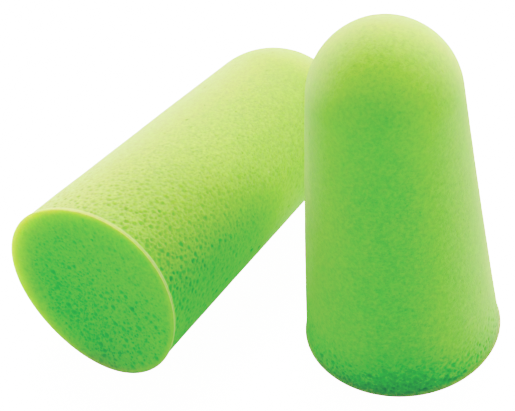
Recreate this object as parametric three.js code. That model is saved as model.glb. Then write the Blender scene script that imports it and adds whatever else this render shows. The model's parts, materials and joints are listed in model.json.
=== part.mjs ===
// A pair of tapered foam ear plugs: one stands on its flat base, the other lies on its side
// to the -X side of it. Each is a round base with a small lip, a tapered body and a domed tip.
// Millimetres, +Z up. The origin is the centre of the standing plug's base, on the resting plane.

import * as THREE from "three";

// ---- Plug, with heights measured from its base ----
const PLUG_LENGTH = 26.0; // base face to the end of the dome
const LIP_RADIUS = 6.5;
const LIP_BEVEL = 0.08; // cut off the lip's corner at the base
const LIP_LAND = 0.2; // top of the lip's straight outside face
const LIP_HEIGHT = 0.42; // where the lip has narrowed to the body
const BODY_BASE_RADIUS = 6.4; // the body where it leaves the lip
const TAPER_TIP_RADIUS = 4.8; // the body's taper carried on to the end of the plug
const DOME_START = 21.0; // height at which the dome begins to close in
const DOME_LENGTH = PLUG_LENGTH - DOME_START;

// ---- Lying plug ----
const LYING_BASE_X = -20.06; // where the centre of its base is
const LYING_BASE_Y = -0.48;
const LYING_HEADING_DEG = 38.2; // from +Y towards +X, the way its tip points

// ---- Mesh fineness ----
const ROUND_STEPS = 72;
const BODY_STEPS = 5;
const DOME_STEPS = 13;

// Radius of the body and dome at height z: a straight taper, scaled by an ellipse in the dome.
function bodyRadius(z) {
  const taper = THREE.MathUtils.mapLinear(
    z,
    LIP_HEIGHT,
    PLUG_LENGTH,
    BODY_BASE_RADIUS,
    TAPER_TIP_RADIUS,
  );
  const domeFraction = Math.max(0, (z - DOME_START) / DOME_LENGTH);
  return taper * Math.sqrt(1 - domeFraction ** 2);
}

// The plug's outline as [radius, height] pairs, from the centre of the base round to the tip.
function plugOutline() {
  const points = [
    [0, 0],
    [LIP_RADIUS - LIP_BEVEL, 0],
    [LIP_RADIUS, LIP_BEVEL],
    [LIP_RADIUS, LIP_LAND],
  ];
  for (let i = 0; i <= BODY_STEPS; i++) {
    const z = LIP_HEIGHT + ((DOME_START - LIP_HEIGHT) * i) / BODY_STEPS;
    points.push([bodyRadius(z), z]);
  }
  // Equal angle steps put the dome's rings closer together towards the tip.
  for (let i = 1; i < DOME_STEPS; i++) {
    const angle = (Math.PI / 2) * (i / DOME_STEPS);
    const z = DOME_START + DOME_LENGTH * Math.sin(angle);
    points.push([bodyRadius(z), z]);
  }
  points.push([0, PLUG_LENGTH]);
  return points;
}

function foamMaterial() {
  return new THREE.MeshStandardMaterial({
    color: new THREE.Color(0.42, 0.78, 0.25), // bright green
    roughness: 0.95,
    metalness: 0.0,
  });
}

// One plug in its own frame: base centre at the origin, tip up +Z.
function makePlug(name) {
  const profile = plugOutline().map(([radius, z]) => new THREE.Vector2(radius, z));
  const geometry = new THREE.LatheGeometry(profile, ROUND_STEPS);
  geometry.rotateX(Math.PI / 2); // lathe axis +Y becomes +Z
  const plug = new THREE.Mesh(geometry, foamMaterial());
  plug.name = name;
  return plug;
}

// How far the lying plug's axis dips towards the tip: the slope of the line that rests on
// the top of the lip's straight face and on the outline beyond it.
function restingDip() {
  const slopes = plugOutline()
    .filter(([, z]) => z > LIP_LAND)
    .map(([radius, z]) => Math.atan2(LIP_RADIUS - radius, z - LIP_LAND));
  return Math.min(...slopes);
}

function makeLyingPlug() {
  const plug = makePlug("lying_plug");
  const heading = THREE.MathUtils.degToRad(LYING_HEADING_DEG);
  const dip = restingDip();

  // The plug's own X, Y and Z axes become side, underside and axis.
  const axis = new THREE.Vector3(
    Math.sin(heading) * Math.cos(dip),
    Math.cos(heading) * Math.cos(dip),
    -Math.sin(dip),
  );
  const side = new THREE.Vector3(Math.cos(heading), -Math.sin(heading), 0);
  const underside = new THREE.Vector3().crossVectors(axis, side);
  plug.setRotationFromMatrix(new THREE.Matrix4().makeBasis(side, underside, axis));

  // Lift the turned plug until its lowest vertex is on the resting plane.
  plug.updateMatrixWorld(true);
  const bounds = new THREE.Box3().setFromObject(plug, true);
  plug.position.set(LYING_BASE_X, LYING_BASE_Y, -bounds.min.z);
  return plug;
}

const pair = new THREE.Group();
pair.add(makePlug("standing_plug"), makeLyingPlug());

export default pair;
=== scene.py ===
import json
import math

import bpy
import numpy as np
from mathutils import Matrix, Vector


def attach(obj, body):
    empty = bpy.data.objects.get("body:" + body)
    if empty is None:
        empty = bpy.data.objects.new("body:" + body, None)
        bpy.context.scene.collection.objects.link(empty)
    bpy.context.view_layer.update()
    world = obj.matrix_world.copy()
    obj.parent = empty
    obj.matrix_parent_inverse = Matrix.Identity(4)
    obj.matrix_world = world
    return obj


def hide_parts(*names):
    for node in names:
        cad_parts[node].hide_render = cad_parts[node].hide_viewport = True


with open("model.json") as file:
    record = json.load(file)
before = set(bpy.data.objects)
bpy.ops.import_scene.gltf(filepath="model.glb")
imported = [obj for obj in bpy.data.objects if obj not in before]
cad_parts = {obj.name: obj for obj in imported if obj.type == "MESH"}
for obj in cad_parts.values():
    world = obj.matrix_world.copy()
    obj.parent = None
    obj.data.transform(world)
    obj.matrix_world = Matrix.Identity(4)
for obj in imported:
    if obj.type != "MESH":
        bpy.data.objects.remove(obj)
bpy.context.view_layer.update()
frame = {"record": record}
RECORD = frame["record"]
MM = 0.001

# ------------------------------------------------------------------------------------------
# Plug shape, in mm, in the plug's own frame: base centre at the origin, tip up +z.
# ------------------------------------------------------------------------------------------
LENGTH = 26.0
LIP_R = 6.5
LIP_TOP = 0.42
BODY_R0 = 6.4
BODY_R1 = 4.8
DOME_Z = 21.0


def body_radius(z):
    taper = BODY_R0 + (BODY_R1 - BODY_R0) * (z - LIP_TOP) / (LENGTH - LIP_TOP)
    t = np.clip((z - DOME_Z) / (LENGTH - DOME_Z), 0.0, 1.0)
    return taper * np.sqrt(np.maximum(0.0, 1.0 - t * t))


def profile(step):
    """The outline from the centre of the base to the tip as evenly walked (r, z) points, and the row where the lip ends."""
    pts = []
    # dished base face, flat where it stands
    for r in np.linspace(0.0, 6.35, 160):
        q = min(r / 6.30, 1.0)
        pts.append((r, 0.24 * (1.0 - q * q) ** 2))
    # rounded lip
    for a in np.linspace(0.0, math.pi / 2, 24):
        pts.append((6.38 + 0.12 * math.sin(a), 0.11 * (1.0 - math.cos(a))))
    # the lip rolls back into the body through a shallow waist
    for t in np.linspace(0.0, 1.0, 24)[1:]:
        z = 0.11 + 0.25 * t
        w = t * t * (3 - 2 * t)
        groove = -0.018 * math.exp(-(((z - 0.36) / 0.09) ** 2))
        pts.append((LIP_R + (float(body_radius(np.array(z))) - LIP_R) * w + groove, z))
    for z in np.linspace(0.40, DOME_Z, 260):
        groove = -0.018 * math.exp(-(((z - 0.36) / 0.09) ** 2))
        pts.append((float(body_radius(np.array(z))) + groove, z))
    for a in np.linspace(0.0, math.pi / 2, 140)[1:]:
        z = DOME_Z + (LENGTH - DOME_Z) * math.sin(a)
        pts.append((float(body_radius(np.array(z))), z))
    pts[-1] = (0.0, LENGTH)
    p = np.array(pts)
    d = np.r_[0.0, np.cumsum(np.hypot(*np.diff(p, axis=0).T))]
    lip = d[160:206]  # finer rows over the lip
    n_face = int(round(d[160] / step))
    n_side = int(round((d[-1] - d[205]) / step))
    s = np.r_[
        np.linspace(0.0, lip[0], n_face + 1)[:-1],
        np.linspace(lip[0], lip[-1], max(14, int((lip[-1] - lip[0]) / (step * 0.6))))[:-1],
        np.linspace(lip[-1], d[-1], n_side + 1),
    ]
    r = np.interp(s, d, p[:, 0])
    z = np.interp(s, d, p[:, 1])
    return r, z, s, lip[0], lip[-1]


def smooth_noise(rng, p, cell, seed_shift=0.0):
    """Smooth value noise at points p (n, 3), with features about cell mm across, from -1 to 1."""
    q = p / cell + seed_shift
    i = np.floor(q).astype(np.int64)
    f = q - i
    w = f * f * (3 - 2 * f)
    n = 64
    table = rng.uniform(-1, 1, n * n * n).reshape(n, n, n)
    out = np.zeros(len(p))
    for dx in (0, 1):
        for dy in (0, 1):
            for dz in (0, 1):
                v = table[(i[:, 0] + dx) % n, (i[:, 1] + dy) % n, (i[:, 2] + dz) % n]
                k = (
                    (w[:, 0] if dx else 1 - w[:, 0])
                    * (w[:, 1] if dy else 1 - w[:, 1])
                    * (w[:, 2] if dz else 1 - w[:, 2])
                )
                out += v * k
    return out


def pore_field(rng, coarse):
    """Seeded pores as arrays (s, theta, radius, stretch, turn, darkness, depth), big ones first, none overlapping."""
    r, z, s, lip0, lip1 = profile(0.05)
    area = np.r_[0.0, np.cumsum(0.5 * (r[1:] + r[:-1]) * np.diff(s))]
    z_of = lambda q: np.interp(q, s, z)
    r_of = lambda q: np.interp(q, s, r)
    cell = 0.5
    grid = {}
    placed = []

    def free(px, py, pz, rad, gap):
        cx, cy, cz = int(px // cell), int(py // cell), int(pz // cell)
        for a in (cx - 1, cx, cx + 1):
            for b in (cy - 1, cy, cy + 1):
                for c in (cz - 1, cz, cz + 1):
                    for qx, qy, qz, qr in grid.get((a, b, c), ()):
                        lim = (rad + qr) * gap
                        if (px - qx) ** 2 + (py - qy) ** 2 + (pz - qz) ** 2 < lim * lim:
                            return False
        return True

    # share of tries kept: most pores lie in a band behind the lip, and fewer, shallower ones beyond it
    def near(zz, reach):
        return math.exp(-((max(zz - 0.8, 0.0) / reach) ** 2))

    big = coarse["size"]
    mid = coarse["mid"]
    passes = (
        # smallest and largest radius, tries, gap, share on the base face, in the band, beyond it, band reach
        (0.125 * big, 0.190 * big, 26000, 1.02, 0.080, coarse["big"], 0.002, coarse["reach"]),
        (0.080, 0.120, 36000, 1.03, 0.44, mid, 0.020, coarse["reach"] * 1.4),
        (0.048, 0.080, 60000, 1.03, 0.80, coarse["small"], 0.340, coarse["reach"] * 1.9),
    )
    for lo, hi, tries, gap, on_base, in_band, beyond, reach in passes:
        u = rng.uniform(0, area[-1], tries)
        ss = np.interp(u, area, s)
        th = rng.uniform(0, 2 * math.pi, tries)
        keep = rng.uniform(0, 1, tries)
        rad = lo + (hi - lo) * rng.uniform(0, 1, tries) ** 1.6
        rr, zz = r_of(ss), z_of(ss)
        patch = 0.5 + 0.5 * smooth_noise(
            rng, np.c_[rr * np.cos(th), rr * np.sin(th), zz] + 40.0, 2.2
        )
        xs, ys = rr * np.cos(th), rr * np.sin(th)
        stretch = 1.0 + 0.55 * rng.uniform(0, 1, tries) ** 2
        turn = rng.uniform(0, math.pi, tries)
        deep = 0.40 + 0.60 * rng.uniform(0, 1, tries) ** 1.2
        rare = rng.uniform(0, 1, tries)
        for k in range(tries):
            on_face = ss[k] < lip0
            if lip0 - 0.25 < ss[k] < lip1 + 0.02 or zz[k] > LENGTH - 0.05:
                continue
            # on the lying plug the pores reach further up its front flank than over its top
            front = 0.5 + 0.5 * math.cos(th[k] + 0.17)
            band = near(zz[k], reach * (1.0 + coarse["flank"] * (1.5 * front * front - 0.25)))
            share = on_base if on_face else beyond + (in_band - beyond) * band
            if keep[k] > share * (0.45 + 1.1 * patch[k]):
                continue
            if not free(xs[k], ys[k], zz[k], rad[k], gap):
                continue
            grid.setdefault(
                (int(xs[k] // cell), int(ys[k] // cell), int(zz[k] // cell)), []
            ).append((xs[k], ys[k], zz[k], rad[k]))
            dull = 0.85 if on_face else 0.29 + 0.62 * band
            # on the lying plug the pores, with their painted shade, are shallower and paler on its lower side and away
            # from its front flank
            if not on_face:
                soft = (0.62 + 0.34 * front) * (1.0 - 0.58 * max(math.sin(th[k] + 0.35), 0.0))
                dull *= 1.0 + coarse["flank"] * (soft - 1.0)
            # pits are shallower on the cut face and on the smooth skin far from the base
            sink = 0.42 if on_face else 0.40 + 0.30 * band
            if on_face:
                # the cut face is coarser towards one side
                dull *= 0.80 + 0.38 * rr[k] / 6.3 * math.sin(th[k])
            if rare[k] < 0.015:
                dull = 1.0
            placed.append((ss[k], th[k], rad[k], stretch[k], turn[k], deep[k] * dull, sink))
    return np.array(placed)


def build_plug(name, seed, shape, coarse, origin, axis, u, v, target, step):
    """One foam plug as a closed mesh in the row frame, with pores and lip in its surface."""
    rng = np.random.default_rng(seed)
    r, z, s, lip0, lip1 = profile(step)
    rows = len(s)
    cols = int(round(2 * math.pi * 6.4 / step))
    th = np.arange(cols) * 2 * math.pi / cols
    R = np.repeat(r[:, None], cols, 1)
    Z = np.repeat(z[:, None], cols, 1)
    T = np.repeat(th[None, :], rows, 0)
    # outward normal of the outline
    dr, dz = np.gradient(r, s), np.gradient(z, s)
    nl = np.hypot(dr, dz)
    nr, nz = dz / nl, -dr / nl
    nr[0], nz[0] = 0.0, -1.0
    nr[-1], nz[-1] = 0.0, 1.0
    base = np.stack([R * np.cos(T), R * np.sin(T), Z], -1)
    flat = base.reshape(-1, 3)

    # pits and the raised walls round them
    pit = np.zeros((rows, cols))
    wall = np.zeros((rows, cols))
    mask = np.zeros((rows, cols))
    pores = pore_field(rng, coarse)
    for s0, t0, rad, stretch, turn, deep, sink in pores:
        reach = rad * stretch * 1.75
        i0, i1 = np.searchsorted(s, s0 - reach), np.searchsorted(s, s0 + reach)
        i1 = max(i1, i0 + 1)
        rc = float(np.interp(s0, s, r))
        rmin = max(0.05, rc - reach)
        half = min(cols // 2 - 1, int(math.ceil(reach / rmin / (2 * math.pi) * cols)) + 1)
        j0 = int(round(t0 / (2 * math.pi) * cols))
        jj = np.arange(j0 - half, j0 + half + 1) % cols
        sub = base[i0:i1][:, jj]
        c = np.array([rc * math.cos(t0), rc * math.sin(t0), float(np.interp(s0, s, z))])
        tan_t = np.array([-math.sin(t0), math.cos(t0), 0.0])
        k = min(max(int(np.searchsorted(s, s0)), 0), rows - 1)
        tan_s = np.array([-nz[k] * math.cos(t0), -nz[k] * math.sin(t0), nr[k]])
        d = sub - c
        a, b = d @ tan_t, d @ tan_s
        ca, sa = math.cos(turn), math.sin(turn)
        p, q = (a * ca + b * sa) / stretch, (-a * sa + b * ca)
        phi = np.arctan2(q, p)
        e = np.sqrt(p * p + q * q) / rad
        e = e * (1.0 + 0.10 * np.cos(3 * phi + 7.0 * turn) + 0.05 * np.cos(5 * phi + 19.0 * turn))
        bowl = np.clip(1.0 - e * e, 0.0, 1.0)
        depth = rad * (0.08 + 0.60 * deep) * sink
        np_pit = depth * bowl**1.25
        ring = 0.04 * rad * deep * sink * np.exp(-(((e - 1.25) / 0.24) ** 2))
        ix = np.ix_(np.arange(i0, i1), jj)
        pit[ix] = np.maximum(pit[ix], np_pit)
        wall[ix] = np.maximum(wall[ix], ring)
        # soft outline of the pore's dark mark, painted shade in the pit
        shade_blotch = 1.0 / (1.0 + np.exp((e - 0.92) / 0.23))
        mask[ix] = np.maximum(mask[ix], min(1.0, 1.15 * deep) * shade_blotch)

    zz = z[:, None]
    on_lip = np.clip((s[:, None] - (lip0 - 0.15)) / 0.15, 0, 1) * np.clip(
        ((lip1 + 0.10) - s[:, None]) / 0.2, 0, 1
    )
    sway = smooth_noise(rng, flat + 30.0, 5.5).reshape(rows, cols) * 0.024
    sway += smooth_noise(rng, flat + 90.0, 2.4).reshape(rows, cols) * 0.008
    grain = smooth_noise(rng, flat + 60.0, 0.50).reshape(rows, cols) * 0.0030
    grain += smooth_noise(rng, flat + 10.0, 0.22).reshape(rows, cols) * 0.0030
    lift = (wall - pit) * (1 - 0.9 * on_lip) + sway * (1 - 0.6 * on_lip) + grain * (1 - 0.5 * on_lip)
    ends = np.clip(s / 0.15, 0, 1) * np.clip((s[-1] - s) / 0.15, 0, 1)
    lift *= ends[:, None]
    N = np.stack(
        [nr[:, None] * np.cos(T), nr[:, None] * np.sin(T), np.repeat(nz[:, None], cols, 1)], -1
    )
    P = base + N * lift[..., None]

    # the moulding's own slight out-of-round, bend and uneven base cut
    a2, b2, a3, b3, bu, bv, tu, tv = shape
    out = 1.0 + 0.01 * np.exp(-((P[..., 2] / 7.0) ** 2)) * (
        a2 * np.cos(2 * T) + b2 * np.sin(2 * T) + a3 * np.cos(3 * T) + b3 * np.sin(3 * T)
    )
    X, Y, W = P[..., 0] * out, P[..., 1] * out, P[..., 2].copy()
    q = np.clip(W / LENGTH, 0, 1)
    X = X + bu * 4 * q * (1 - q)
    Y = Y + bv * 4 * q * (1 - q)
    W = W + np.exp(-W / 1.5) * R * 0.01 * (tu * np.cos(T) + tv * np.sin(T))

    O, A, U, V = (np.array(k, float) for k in (origin, axis, u, v))
    world = O + X[..., None] * U + Y[..., None] * V + W[..., None] * A
    # one vertex at each pole
    body = world[1:-1].reshape(-1, 3)
    first = world[0].mean(0)
    last = world[-1].mean(0)
    co = np.vstack([body, first[None], last[None]])
    co[:, 2] -= co[:, 2].min()  # rests on the floor
    m = rows - 2
    i = np.arange(m - 1)[:, None] * cols
    j = np.arange(cols)[None, :]
    j2 = (j + 1) % cols
    quads = np.stack([i + j, i + j2, i + cols + j2, i + cols + j], -1).reshape(-1, 4)
    pole0, pole1 = m * cols, m * cols + 1
    jj = np.arange(cols)
    jj2 = (jj + 1) % cols
    cap0 = np.stack([np.full(cols, pole0), jj2, jj], -1)
    cap1 = np.stack([np.full(cols, pole1), (m - 1) * cols + jj, (m - 1) * cols + jj2], -1)

    mesh = bpy.data.meshes.new(name)
    nv = len(co)
    loops = np.concatenate([quads.ravel(), cap0.ravel(), cap1.ravel()])
    starts = np.concatenate(
        [
            np.arange(len(quads)) * 4,
            len(quads) * 4 + np.arange(2 * cols) * 3,
        ]
    )
    mesh.vertices.add(nv)
    mesh.loops.add(len(loops))
    mesh.polygons.add(len(starts))
    mesh.vertices.foreach_set("co", (co * MM).astype(np.float32).ravel())
    mesh.loops.foreach_set("vertex_index", loops.astype(np.int32))
    mesh.polygons.foreach_set("loop_start", starts.astype(np.int32))
    mesh.update(calc_edges=True)

    def per_vertex(grid2d):
        g = np.asarray(grid2d, float)
        return np.concatenate([g[1:-1].ravel(), [g[0].mean(), g[-1].mean()]])

    # a narrow band along the lip, which carries a painted highlight
    lip_highlight_band = np.repeat(np.exp(-(((s - (lip0 + 0.135)) / 0.044) ** 2))[:, None], cols, 1)
    # painted glow of light through the thin edge of the base, strongest on one side
    thin = coarse["thin"] * (0.04 + 0.96 * (0.5 - 0.5 * np.cos(T)) ** 2.2)
    # painted shade at the foot of the standing plug: strongest on the side toward the camera, weaker on the right and
    # left
    shade = 1.0 if coarse["shade_amount"] < 0.5 else (
        (0.35 + 0.65 * (0.5 - 0.5 * np.sin(T))) * (1.0 - 0.35 * np.clip(np.cos(T), 0, 1)) * (1.0 - 0.60 * np.clip(-np.cos(T), 0, 1))
    )
    channels = {
        # dark pore marks, painted shade in the pits; on the standing plug weaker on its right and left sides and
        # stronger near the bottom
        "pore": mask * (1 - on_lip) * (1.0 if coarse["shade_amount"] < 0.5 else 1.0 - 0.58 * np.clip(np.cos(T), 0, 1) - 0.48 * np.clip(-np.cos(T), 0, 1))
        * (1.0 if coarse["shade_amount"] < 0.5 else 0.68 + 0.60 * np.exp(-((Z / 1.2) ** 2))),
        "lip": lip_highlight_band * coarse["lip"],
        # painted highlight on the lying plug's lip, toward its lower side
        "lip_low_highlight": lip_highlight_band * coarse["flank"] * np.clip(np.cos(T - 0.55), 0, 1),
        # raised walls round the pores, painted paler as a highlight
        "wall": np.clip(wall / 0.010, 0, 1) * (mask < 0.15) * (1 - on_lip),
        # painted glow just inside the edge of the base face
        "painted_rim_glow": (
            thin * np.exp(-((np.clip(lip0 - s[:, None], 0, None) / (0.38 + 0.57 * thin)) ** 1.4))
            + 0.08 * coarse["thin"] * np.exp(-((np.clip(lip0 - s[:, None], 0, None) / 1.3) ** 2))
        )
        * np.exp(-np.clip(s[:, None] - lip0 - 0.02, 0, None) / 0.08),
        # painted shade on the base face, which turns away from the lights, deeper on one side
        "cut": np.clip((lip0 - s[:, None]) / 0.3, 0, 1) * (1.0 - 0.30 * R / 6.3 * (0.7 * np.cos(T) - 0.7 * np.sin(T))),
        # painted shade near the floor, fading up from the bottom
        "foot_shade": np.repeat(
            (np.exp(-((np.clip(z - 0.5, 0, None) / coarse["foot_shade"]) ** 2)) * np.clip((s - lip0 - 0.26) / 0.20, 0, 1))[:, None] * coarse["shade_amount"], cols, 1
        )
        * shade,
        # painted shade on the lower part of the standing plug, more on its left side
        "low_shade": coarse["low_shade"]
        * (0.42 * np.clip((22.0 - Z) / 6.0, 0, 1) + (0.58 + 0.75 * np.clip(-np.cos(T), 0, 1)) * np.exp(-((Z / 8.5) ** 2))),
        # where the painted sheen is taken back: the standing plug's left side, beside the lying plug
        "sheen_veil": coarse["low_shade"] * np.clip(-np.cos(T), 0, 1) * (0.75 + 0.35 * np.clip((20.0 - Z) / 8.0, 0, 1)),
        "crown": np.repeat(np.clip((z - 16.5) / 6.0, 0, 1)[:, None], cols, 1),
        "walk": np.repeat(s[:, None], cols, 1),
        "turn_c": np.cos(T),
        "turn_s": np.sin(T),
    }
    for key, g in channels.items():
        at = mesh.attributes.new(key, "FLOAT", "POINT")
        at.data.foreach_set("value", per_vertex(g).astype(np.float32))

    obj = bpy.data.objects.new(name, mesh)
    bpy.context.scene.collection.objects.link(obj)
    tris = 2 * len(quads) + 2 * cols
    if target and tris > target:
        mod = obj.modifiers.new("thin", "DECIMATE")
        mod.ratio = target / tris
        dg = bpy.context.evaluated_depsgraph_get()
        thin = bpy.data.meshes.new_from_object(obj.evaluated_get(dg))
        obj.modifiers.clear()
        obj.data = thin
        thin.name = name
        mesh = thin
    mesh.polygons.foreach_set("use_smooth", np.ones(len(mesh.polygons), bool))
    unwrap(mesh, float(s[-1]), float(lip0))
    mesh.update()
    return obj, len(pores)


def unwrap(mesh, s_end, lip0):
    """Clean layout: the side as one unrolled strip, the base face as a disc under it."""
    nv, nl = len(mesh.vertices), len(mesh.loops)

    def read(key):
        a = np.zeros(nv, np.float32)
        mesh.attributes[key].data.foreach_get("value", a)
        return a

    s, c, t = read("walk"), read("turn_c"), read("turn_s")
    ang = np.mod(np.arctan2(t, c), 2 * math.pi)
    vi = np.zeros(nl, np.int32)
    mesh.loops.foreach_get("vertex_index", vi)
    start = np.zeros(len(mesh.polygons), np.int32)
    total = np.zeros(len(mesh.polygons), np.int32)
    mesh.polygons.foreach_get("loop_start", start)
    mesh.polygons.foreach_get("loop_total", total)
    poly = np.repeat(np.arange(len(start)), total)
    la = ang[vi].astype(float)
    ls = s[vi].astype(float)
    pole = (np.hypot(c[vi], t[vi]) < 0.2)
    # keep each face on one side of the seam
    mean_s = np.bincount(poly, ls) / total
    hi = np.zeros(len(start))
    np.maximum.at(hi, poly, np.where(pole, -1.0, la))
    lo = np.full(len(start), 99.0)
    np.minimum.at(lo, poly, np.where(pole, 99.0, la))
    cross = (hi - lo) > math.pi
    la = np.where(cross[poly] & (la < math.pi), la + 2 * math.pi, la)
    cnt = np.bincount(poly, (~pole).astype(float))
    mid = np.bincount(poly, np.where(pole, 0.0, la)) / np.maximum(cnt, 1)
    la = np.where(pole, mid[poly], la)
    scale = 0.97 / (2 * math.pi * 6.5)
    uv = np.zeros((nl, 2))
    face = mean_s < lip0
    on_face = face[poly]
    uv[:, 0] = 0.012 + la * 6.5 * scale * (1 - 1e-4)
    uv[:, 1] = 0.33 + np.clip(ls - lip0, 0, None) * scale
    uv[on_face, 0] = 0.165 + ls[on_face] * np.cos(la[on_face]) * scale
    uv[on_face, 1] = 0.160 + ls[on_face] * np.sin(la[on_face]) * scale
    layer = mesh.uv_layers.new(name="OFBake")
    layer.data.foreach_set("uv", uv.astype(np.float32).ravel())
    mesh.uv_layers.active = layer


# ------------------------------------------------------------------------------------------
# Foam material
# ------------------------------------------------------------------------------------------
def srgb(r, g, b):
    f = lambda c: c / 12.92 if c <= 0.04045 else ((c + 0.055) / 1.055) ** 2.4
    return (f(r / 255), f(g / 255), f(b / 255), 1.0)


def foam_material(name, offset, own):
    grain, calm_top, dye, close = own["grain"], own["calm"], own["dye"], own["close"]
    mat = bpy.data.materials.new(name)
    mat.use_nodes = True
    nt = mat.node_tree
    nt.nodes.clear()
    N, L = nt.nodes, nt.links

    def node(kind, **kw):
        n = N.new(kind)
        for k, val in kw.items():
            setattr(n, k, val)
        return n

    def math_node(op, a, b=None, clamp=False):
        n = node("ShaderNodeMath", operation=op, use_clamp=clamp)
        for slot, val in ((0, a), (1, b)):
            if val is None:
                continue
            if isinstance(val, (int, float)):
                n.inputs[slot].default_value = val
            else:
                L.new(val, n.inputs[slot])
        return n.outputs[0]

    def mix(fac, a, b, blend="MIX"):
        n = node("ShaderNodeMix", data_type="RGBA", blend_type=blend)
        for idx, val in ((0, fac), (6, a), (7, b)):
            if isinstance(val, (int, float)):
                n.inputs[idx].default_value = val
            elif isinstance(val, tuple):
                n.inputs[idx].default_value = val
            else:
                L.new(val, n.inputs[idx])
        return n.outputs[2]

    def ramp(fac, stops):
        n = node("ShaderNodeValToRGB")
        el = n.color_ramp.elements
        while len(el) > 1:
            el.remove(el[-1])
        el[0].position, el[0].color = stops[0][0], (stops[0][1],) * 3 + (1,)
        for pos, val in stops[1:]:
            e = el.new(pos)
            e.color = (val,) * 3 + (1,)
        L.new(fac, n.inputs[0])
        return n.outputs[0]

    out = node("ShaderNodeOutputMaterial")
    bsdf = node("ShaderNodeBsdfPrincipled")
    L.new(bsdf.outputs[0], out.inputs[0])

    coord = node("ShaderNodeTexCoord")
    place = node("ShaderNodeMapping")
    place.inputs["Location"].default_value = offset
    place.inputs["Scale"].default_value = (1000.0, 1000.0, 1000.0)  # millimetres
    L.new(coord.outputs["Object"], place.inputs[0])
    mm = place.outputs[0]

    pore = node("ShaderNodeAttribute", attribute_name="pore").outputs["Fac"]
    lip = node("ShaderNodeAttribute", attribute_name="lip").outputs["Fac"]
    lip_low_highlight = node("ShaderNodeAttribute", attribute_name="lip_low_highlight").outputs["Fac"]
    wall = node("ShaderNodeAttribute", attribute_name="wall").outputs["Fac"]
    painted_rim_glow = node("ShaderNodeAttribute", attribute_name="painted_rim_glow").outputs["Fac"]
    cut = node("ShaderNodeAttribute", attribute_name="cut").outputs["Fac"]
    foot_shade = node("ShaderNodeAttribute", attribute_name="foot_shade").outputs["Fac"]
    crown = node("ShaderNodeAttribute", attribute_name="crown").outputs["Fac"]
    low_shade = node("ShaderNodeAttribute", attribute_name="low_shade").outputs["Fac"]
    sheen_veil = node("ShaderNodeAttribute", attribute_name="sheen_veil").outputs["Fac"]

    def noise(scale, detail=2.0, rough=0.5):
        n = node("ShaderNodeTexNoise")
        n.inputs["Scale"].default_value = scale
        n.inputs["Detail"].default_value = detail
        n.inputs["Roughness"].default_value = rough
        L.new(mm, n.inputs["Vector"])
        return n.outputs["Fac"]

    def cells(scale, feature="F1", rand=1.0):
        n = node("ShaderNodeTexVoronoi", feature=feature)
        n.inputs["Scale"].default_value = scale
        n.inputs["Randomness"].default_value = rand
        L.new(mm, n.inputs["Vector"])
        return n.outputs["Distance"]

    # fine cells, about 0.13 mm and 0.08 mm apart
    fine = ramp(cells(6.0), [(0.10, 1.0), (0.42, 0.0)])
    finer = ramp(cells(10.5), [(0.08, 1.0), (0.45, 0.0)])
    where_fine = ramp(noise(0.55, 3.0, 0.6), [(0.35, 0.25), (0.65, 1.0)])
    fine_mask = math_node("MULTIPLY", fine, where_fine)
    tone = noise(0.16, 3.0, 0.55)
    fleck = noise(2.4, 2.0, 0.6)
    grit = noise(5.0 * close, 3.0, 0.65)

    skin = FOAM["skin"]
    deep = FOAM["deep"]
    pale = FOAM["pale"]
    warm = FOAM["warm"]
    # pore colour, painted shade in the pits; darker and bluer on the shaded base face and at the foot
    pit = mix(math_node("ADD", cut, foot_shade, clamp=True), FOAM["pit"], FOAM["pit_shaded"])
    calm = math_node("SUBTRACT", 1.0, math_node("MULTIPLY", crown, calm_top))
    calm = math_node("SUBTRACT", calm, math_node("MULTIPLY", cut, 0.35))
    speck = noise(7.5 * close, 2.0, 0.6)
    # dark blotches on the base face and at the foot, painted shade of clustered pores
    shade_blotch = math_node("MULTIPLY", ramp(noise(3.2, 3.0, 0.65), [(0.53, 0.0), (0.66, 1.0)]), math_node("ADD", cut, foot_shade, clamp=True))
    col = mix(ramp(tone, [(0.35, 0.0), (0.65, 1.0)]), skin, warm)
    # painted shade: deeper green on the base face, at the foot and on the lower part
    col = mix(math_node("MULTIPLY", cut, FOAM["cut"]), col, deep)
    col = mix(math_node("MULTIPLY", foot_shade, FOAM["foot_shade"]), col, deep)
    col = mix(math_node("MULTIPLY", low_shade, FOAM["low_shade"]), col, deep)
    col = mix(math_node("MULTIPLY", ramp(fleck, [(0.40, 0.0), (0.72, 1.0)]), math_node("MULTIPLY", calm, FOAM["fleck"] * (1.0 + 0.45 * own["mottle"]))), col, pale)
    col = mix(math_node("MULTIPLY", ramp(fleck, [(0.34, 1.0), (0.50, 0.0)]), math_node("MULTIPLY", calm, FOAM["fleck_dark"] * own["mottle"])), col, deep)
    col = mix(math_node("MULTIPLY", ramp(grit, [(0.36, 1.0), (0.58, 0.0)]), math_node("MULTIPLY", calm, FOAM["grit"] * grain)), col, pit)
    col = mix(math_node("MULTIPLY", ramp(speck, [(0.46, 0.0), (0.66, 1.0)]), math_node("MULTIPLY", calm, FOAM["speck"] * grain)), col, pale)
    # fine cells darkened toward the pore colour, painted shade in the small cells
    col = mix(math_node("MULTIPLY", finer, math_node("MULTIPLY", calm, FOAM["finer"])), col, pit)
    col = mix(math_node("MULTIPLY", fine_mask, math_node("MULTIPLY", calm, FOAM["fine"] * grain)), col, pit)
    col = mix(math_node("MULTIPLY", shade_blotch, FOAM["shade_blotch"]), col, pit)
    # painted highlight on the raised walls round the pores
    col = mix(math_node("MULTIPLY", wall, FOAM["wall"]), col, pale)
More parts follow.
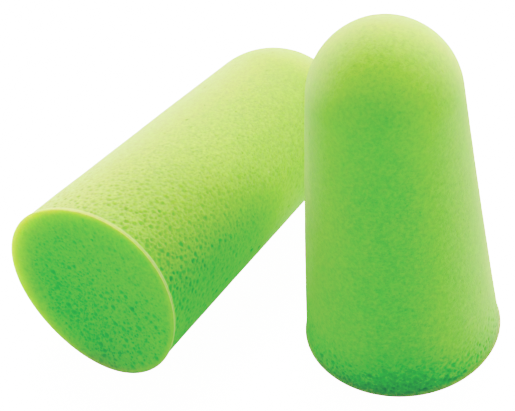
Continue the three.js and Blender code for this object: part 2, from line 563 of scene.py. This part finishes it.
    # pores darkened toward the pore colour as painted shade in the pits, more on the base face and at the foot
    strength = math_node("ADD", FOAM["pore"], math_node("MULTIPLY", cut, FOAM["pore_deep"] - FOAM["pore"]))
    strength = math_node("ADD", strength, math_node("MULTIPLY", foot_shade, FOAM["pore_foot_shade"] - FOAM["pore"]))
    col = mix(math_node("MULTIPLY", pore, strength), col, pit)
    # painted glow of light through the thin edge of the base
    col = mix(math_node("MULTIPLY", painted_rim_glow, FOAM["painted_rim_glow"]), col, FOAM["glow"])
    # painted highlights along the lip, palest on its lower side
    col = mix(math_node("MULTIPLY", lip, FOAM["lip"]), col, FOAM["lip_highlight_col"])
    col = mix(math_node("MULTIPLY", lip_low_highlight, FOAM["lip_low_highlight"]), col, FOAM["lip_low_highlight_col"])
    col = mix(1.0, col, tuple(dye) + (1.0,), "MULTIPLY")
    # painted sheen: the colour turns paler where the surface is seen at a grazing angle, less so in pores, at the foot
    # and on the standing plug's left side
    facing = node("ShaderNodeLayerWeight")
    facing.inputs["Blend"].default_value = FOAM["painted_sheen_blend"]
    sunk = math_node("ADD", math_node("MULTIPLY", pore, 0.75), math_node("MULTIPLY", foot_shade, 0.5))
    grazing = math_node("MULTIPLY", sheen_veil, math_node("POWER", facing.outputs["Facing"], 3.0))
    hollow = math_node("SUBTRACT", 1.0, math_node("ADD", sunk, grazing, clamp=True))
    painted_sheen = math_node("MULTIPLY", facing.outputs["Facing"], math_node("MULTIPLY", hollow, FOAM["painted_sheen"]), clamp=True)
    col = mix(painted_sheen, col, FOAM["painted_sheen_col"])
    L.new(col, bsdf.inputs["Base Color"])

    height = math_node("MULTIPLY", fine_mask, -0.040)
    height = math_node("ADD", height, math_node("MULTIPLY", finer, -0.016))
    height = math_node("ADD", height, math_node("MULTIPLY", grit, 0.020))
    bump = node("ShaderNodeBump")
    bump.inputs["Strength"].default_value = FOAM["bump"]
    bump.inputs["Distance"].default_value = 0.001
    L.new(height, bump.inputs["Height"])
    L.new(bump.outputs[0], bsdf.inputs["Normal"])

    rough = math_node("ADD", 0.80, math_node("MULTIPLY", grit, 0.16), clamp=True)
    L.new(rough, bsdf.inputs["Roughness"])
    bsdf.inputs["IOR"].default_value = 1.40
    bsdf.inputs["Specular IOR Level"].default_value = FOAM["spec"]
    bsdf.subsurface_method = "RANDOM_WALK"
    bsdf.inputs["Subsurface Weight"].default_value = FOAM["sss"]
    bsdf.inputs["Subsurface Radius"].default_value = FOAM["radius"]
    bsdf.inputs["Subsurface Scale"].default_value = FOAM["scale"]
    L.new(math_node("MULTIPLY", hollow, FOAM["sheen"]), bsdf.inputs["Sheen Weight"])
    bsdf.inputs["Sheen Roughness"].default_value = FOAM["sheen_rough"]
    bsdf.inputs["Sheen Tint"].default_value = FOAM["sheen_tint"]
    return mat


FOAM = {
    "skin": srgb(142, 216, 62),
    "warm": srgb(155, 218, 60),
    "pale": srgb(184, 230, 96),
    # deep: the colour of the painted shade, also used for darker mottling
    "deep": srgb(34, 182, 62),
    # pore colours: painted shade in the pits, the second on the shaded base face and foot
    "pit": srgb(86, 154, 32),
    "pit_shaded": srgb(22, 152, 88),
    "fleck": 0.22,
    "fleck_dark": 0.09,
    "grit": 0.42,
    "speck": 0.30,
    "finer": 0.15,
    "fine": 0.30,
    "shade_blotch": 0.50,
    # how strongly pores take the pore colour: painted shade in the pits
    "pore": 0.64,
    "pore_deep": 0.78,
    "pore_foot_shade": 0.94,
    "wall": 0.20,
    # amounts of the painted shade on the base face, at the foot and on the lower part
    "cut": 0.48,
    "foot_shade": 0.46,
    "low_shade": 0.19,
    # painted glow through the thin edge of the base, and its colour
    "painted_rim_glow": 0.92,
    "glow": srgb(222, 232, 96),
    # painted highlights along the lip, and their colours
    "lip": 0.85,
    "lip_highlight_col": srgb(200, 231, 116),
    "lip_low_highlight": 0.85,
    "lip_low_highlight_col": srgb(248, 244, 168),
    "bump": 0.30,
    "spec": 0.50,
    "sss": 1.0,
    "radius": (0.45, 1.0, 0.35),
    "scale": 0.0030,
    # painted sheen: paler colour at grazing view angles
    "painted_sheen": 0.68,
    "painted_sheen_blend": 0.35,
    "painted_sheen_col": srgb(202, 240, 134),
    "sheen": 0.60,
    "sheen_rough": 0.60,
    "sheen_tint": (0.93, 1.0, 0.62, 1.0),
}


# ------------------------------------------------------------------------------------------
# The two plugs
# ------------------------------------------------------------------------------------------
mounts = {m["name"]: m for m in RECORD["mounts"]}
STEP = 0.0625
TARGET = 194000


def plug_frame(mount):
    m = mounts[mount]
    origin = np.array(m["pos_m"], float) / MM
    axis = -np.array(m["axis"], float)
    axis /= np.linalg.norm(axis)
    if abs(axis[2]) > 0.99:
        u = np.array([1.0, 0.0, 0.0])
    else:
        u = np.cross(axis, [0.0, 0.0, 1.0])
        u /= np.linalg.norm(u)
    return origin, axis, u, np.cross(axis, u)


# per plug: pore settings, and the reach and amounts of the painted shade, glow and highlights
PLUGS = (
    ("standing_foam", "standing_plug", "standing_base", 41,
     (-0.482, 0.328, -0.188, 1.100, -0.122, -0.009, 0.0, 0.0), {"big": 0.36, "mid": 0.40, "small": 0.50, "reach": 1.9, "foot_shade": 2.2, "thin": 0.0, "lip": 0.35, "size": 1.10, "shade_amount": 1.0, "low_shade": 1.0, "grain": 1.05, "mottle": 1.0, "flank": 0.0, "calm": 0.36, "close": 0.74, "dye": (0.96, 0.97, 1.11)}),
    ("lying_foam", "lying_plug", "lying_base", 67,
     (0.755, 0.276, -2.182, -1.146, -0.015, -0.062, 1.102, 0.771), {"big": 0.90, "mid": 0.90, "small": 0.95, "reach": 4.0, "foot_shade": 0.6, "thin": 1.0, "lip": 1.0, "size": 1.18, "shade_amount": 0.08, "low_shade": 0.0, "grain": 1.08, "mottle": 0.35, "flank": 1.0, "calm": 0.45, "close": 0.92, "dye": (1.0, 1.0, 1.0)}),
)
pieces = []
for k, (piece, node_name, mount, seed, shape, coarse) in enumerate(PLUGS):
    origin, axis, u, v = plug_frame(mount)
    obj, n_pores = build_plug(piece, seed, shape, coarse, origin, axis, u, v, TARGET, STEP)
    obj.data.materials.append(foam_material("foam_" + piece, (17.3 * k, 9.1 * k, 4.7 * k), coarse))
    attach(obj, node_name)
    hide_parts(node_name)
    pieces.append(obj)
    print("PLUG", piece, "pores", n_pores, "verts", len(obj.data.vertices), "faces", len(obj.data.polygons))

# ------------------------------------------------------------------------------------------
# Stage, light, camera
# ------------------------------------------------------------------------------------------
STAGE = {"bounce": (0.14, 0.58, 0.20), "white": 0.85, "glow": 5.0, "sky": 0.03, "sky_seen": 8.0}


def stage_floor():
    bm_verts, bm_faces = [(0.0, 0.0, -0.00002)], []
    rings = [0.05, 0.15, 0.4, 1.0, 2.4]
    n = 64
    for r in rings:
        for k in range(n):
            a = 2 * math.pi * k / n
            bm_verts.append((r * math.cos(a), r * math.sin(a), -0.00002))
    for k in range(n):
        bm_faces.append((0, 1 + k, 1 + (k + 1) % n))
    for q in range(len(rings) - 1):
        a0, b0 = 1 + q * n, 1 + (q + 1) * n
        for k in range(n):
            bm_faces.append((a0 + k, b0 + k, b0 + (k + 1) % n, a0 + (k + 1) % n))
    me = bpy.data.meshes.new("stage_floor")
    me.from_pydata(bm_verts, [], bm_faces)
    ob = bpy.data.objects.new("stage_floor", me)
    bpy.context.scene.collection.objects.link(ob)
    mat = bpy.data.materials.new("stage_white")
    mat.use_nodes = True
    nt = mat.node_tree
    b = nt.nodes["Principled BSDF"]
    b.inputs["Roughness"].default_value = 0.9
    b.inputs["Specular IOR Level"].default_value = 0.0
    path = nt.nodes.new("ShaderNodeLightPath")
    # the table reads bright white to the camera and bounces less light up at the plugs
    tone = nt.nodes.new("ShaderNodeMix")
    tone.data_type = "RGBA"
    nt.links.new(path.outputs["Is Camera Ray"], tone.inputs[0])
    tone.inputs[6].default_value = STAGE["bounce"] + (1,)
    tone.inputs[7].default_value = (STAGE["white"],) * 3 + (1,)
    nt.links.new(tone.outputs[2], b.inputs["Base Color"])
    b.inputs["Emission Color"].default_value = (1, 1, 1, 1)
    # away from the plugs the table runs on into the white surround
    spot = nt.nodes.new("ShaderNodeNewGeometry")
    far = nt.nodes.new("ShaderNodeVectorMath")
    far.operation = "LENGTH"
    nt.links.new(spot.outputs["Position"], far.inputs[0])
    span = nt.nodes.new("ShaderNodeMapRange")
    span.interpolation_type = "SMOOTHSTEP"
    nt.links.new(far.outputs["Value"], span.inputs["Value"])
    span.inputs["From Min"].default_value = 0.05
    span.inputs["From Max"].default_value = 0.30
    span.inputs["To Min"].default_value = STAGE["glow"]
    span.inputs["To Max"].default_value = STAGE["glow"] * 2.1
    glow = nt.nodes.new("ShaderNodeMath")
    glow.operation = "MULTIPLY"
    nt.links.new(path.outputs["Is Camera Ray"], glow.inputs[0])
    nt.links.new(span.outputs["Result"], glow.inputs[1])
    nt.links.new(glow.outputs[0], b.inputs["Emission Strength"])
    me.materials.append(mat)
    return ob


stage_floor()
scene = bpy.context.scene


def area_light(name, direction, distance, size, power, color=(1, 1, 1)):
    d = Vector(direction).normalized()
    data = bpy.data.lights.new(name, "AREA")
    data.shape = "DISK"
    data.size = size
    data.energy = power
    data.color = color
    ob = bpy.data.objects.new(name, data)
    ob.location = Vector((-0.009, 0.005, 0.008)) + d * distance
    ob.rotation_euler = (-d).to_track_quat("-Z", "Y").to_euler()
    ob.visible_camera = False
    bpy.context.scene.collection.objects.link(ob)
    return ob


# azimuth (0 is the camera's side, 90 is +X), elevation, share: a ring of soft boxes, strongest behind and to the right
LIGHTS = (
    ("key_behind", 180, 62, 1.165),
    ("back_right", 157.5, 35, 0.66),
    ("back_left", 202.5, 35, 0.56),
    ("right_back", 112.5, 35, 0.348),
    ("right_low", 90, 8, 0.942),
    ("right_high", 60, 62, 0.174),
    ("front_right", 22.5, 35, 0.297),
    ("left", 303, 33, 0.63),
)
for name, az, ele, share in LIGHTS:
    a, e = math.radians(az), math.radians(ele)
    area_light(
        name,
        (math.sin(a) * math.cos(e), -math.cos(a) * math.cos(e), math.sin(e)),
        0.5,
        0.24,
        2.0 * share,
    )
# a small soft box close to the left, whose light comes through the thin edge of the lying plug's base
a, e = math.radians(236), math.radians(6)
near = area_light("near_left", (math.sin(a) * math.cos(e), -math.cos(a) * math.cos(e), math.sin(e)), 0.05, 0.04, 0.0155)
near.location = near.location + Vector((-0.0055, 0.0015, -0.002))

world = bpy.data.worlds.new("studio")
scene.world = world
world.use_nodes = True
wnt = world.node_tree
bg = wnt.nodes["Background"]
bg.inputs[0].default_value = (1.0, 1.0, 1.0, 1.0)
bg.inputs[1].default_value = STAGE["sky"]
seen = wnt.nodes.new("ShaderNodeBackground")
seen.inputs[0].default_value = (1.0, 1.0, 1.0, 1.0)
seen.inputs[1].default_value = STAGE["sky_seen"]
wpath = wnt.nodes.new("ShaderNodeLightPath")
wmix = wnt.nodes.new("ShaderNodeMixShader")
wnt.links.new(wpath.outputs["Is Camera Ray"], wmix.inputs[0])
wnt.links.new(bg.outputs[0], wmix.inputs[1])
wnt.links.new(seen.outputs[0], wmix.inputs[2])
wnt.links.new(wmix.outputs[0], wnt.nodes["World Output"].inputs[0])

# camera at the same viewing angle, with a long lens
W_PX, H_PX = 515, 411
F_PX, EL, ROLL, DIST = 5825.1155, 42.42714, -5.46086, 383.94957
TARGET_MM = np.array([-8.86068, 4.57774, 8.0])
el, roll = math.radians(EL), math.radians(ROLL)
back = np.array([0.0, -math.cos(el), math.sin(el)])
right = np.cross(-back, [0, 0, 1.0])
right /= np.linalg.norm(right)
up = np.cross(right, -back)
r2 = math.cos(roll) * right + math.sin(roll) * up
u2 = -math.sin(roll) * right + math.cos(roll) * up
cam_data = bpy.data.cameras.new("view")
cam_data.sensor_fit = "HORIZONTAL"
cam_data.sensor_width = 36.0
cam_data.lens = F_PX / W_PX * 36.0
cam_data.clip_start = 0.01
cam_data.clip_end = 20.0
cam = bpy.data.objects.new("view", cam_data)
scene.collection.objects.link(cam)
pos = (TARGET_MM + back * DIST) * MM
cam.matrix_world = Matrix(
    (
        (r2[0], u2[0], back[0], pos[0]),
        (r2[1], u2[1], back[1], pos[1]),
        (r2[2], u2[2], back[2], pos[2]),
        (0, 0, 0, 1),
    )
)
scene.camera = cam

# film-like tone: (stops from scene white, shown value 0-255) for red, green and blue
TONE = {
    0: ((-8, 21), (-7, 31), (-6, 36), (-5, 40), (-4, 44), (-3, 54), (-2, 121), (-1, 174), (0, 219), (1, 240), (2, 251), (2.5, 255), (3, 255)),
    1: ((-8, 12), (-7, 22), (-6, 32), (-5, 41), (-4, 52), (-3, 72), (-2, 126), (-1, 178), (0, 205), (1, 237), (2, 251), (2.5, 255), (3, 255)),
    2: ((-8, 53), (-7, 65), (-6, 68), (-5, 70), (-4, 71), (-3, 76), (-2, 129), (-1, 172), (0, 212), (1, 237), (2, 250), (2.5, 255), (3, 255)),
}
view_set = scene.view_settings
view_set.view_transform = "Standard"
view_set.look = "None"
view_set.use_curve_mapping = True
curves = view_set.curve_mapping
curves.white_level = (8.0, 8.0, 8.0)
for c, knots in TONE.items():
    xs = np.array([k for k, _ in knots], float)
    ys = np.array([val for _, val in knots], float) / 255.0
    fine_x = np.linspace(-8, 3, 34)
    fine_y = np.interp(fine_x, xs, ys)
    lin_y = np.where(fine_y <= 0.04045, fine_y / 12.92, ((fine_y + 0.055) / 1.055) ** 2.4)
    points = curves.curves[c].points
    points[0].location = (0.0, float(lin_y[0]) * 0.9)
    points[1].location = (1.0, 1.0)
    for x, y in zip(fine_x[:-1], lin_y[:-1]):
        points.new(float(2.0**x) / 8.0, float(y))
    for p in points:
        p.handle_type = "VECTOR"
curves.update()
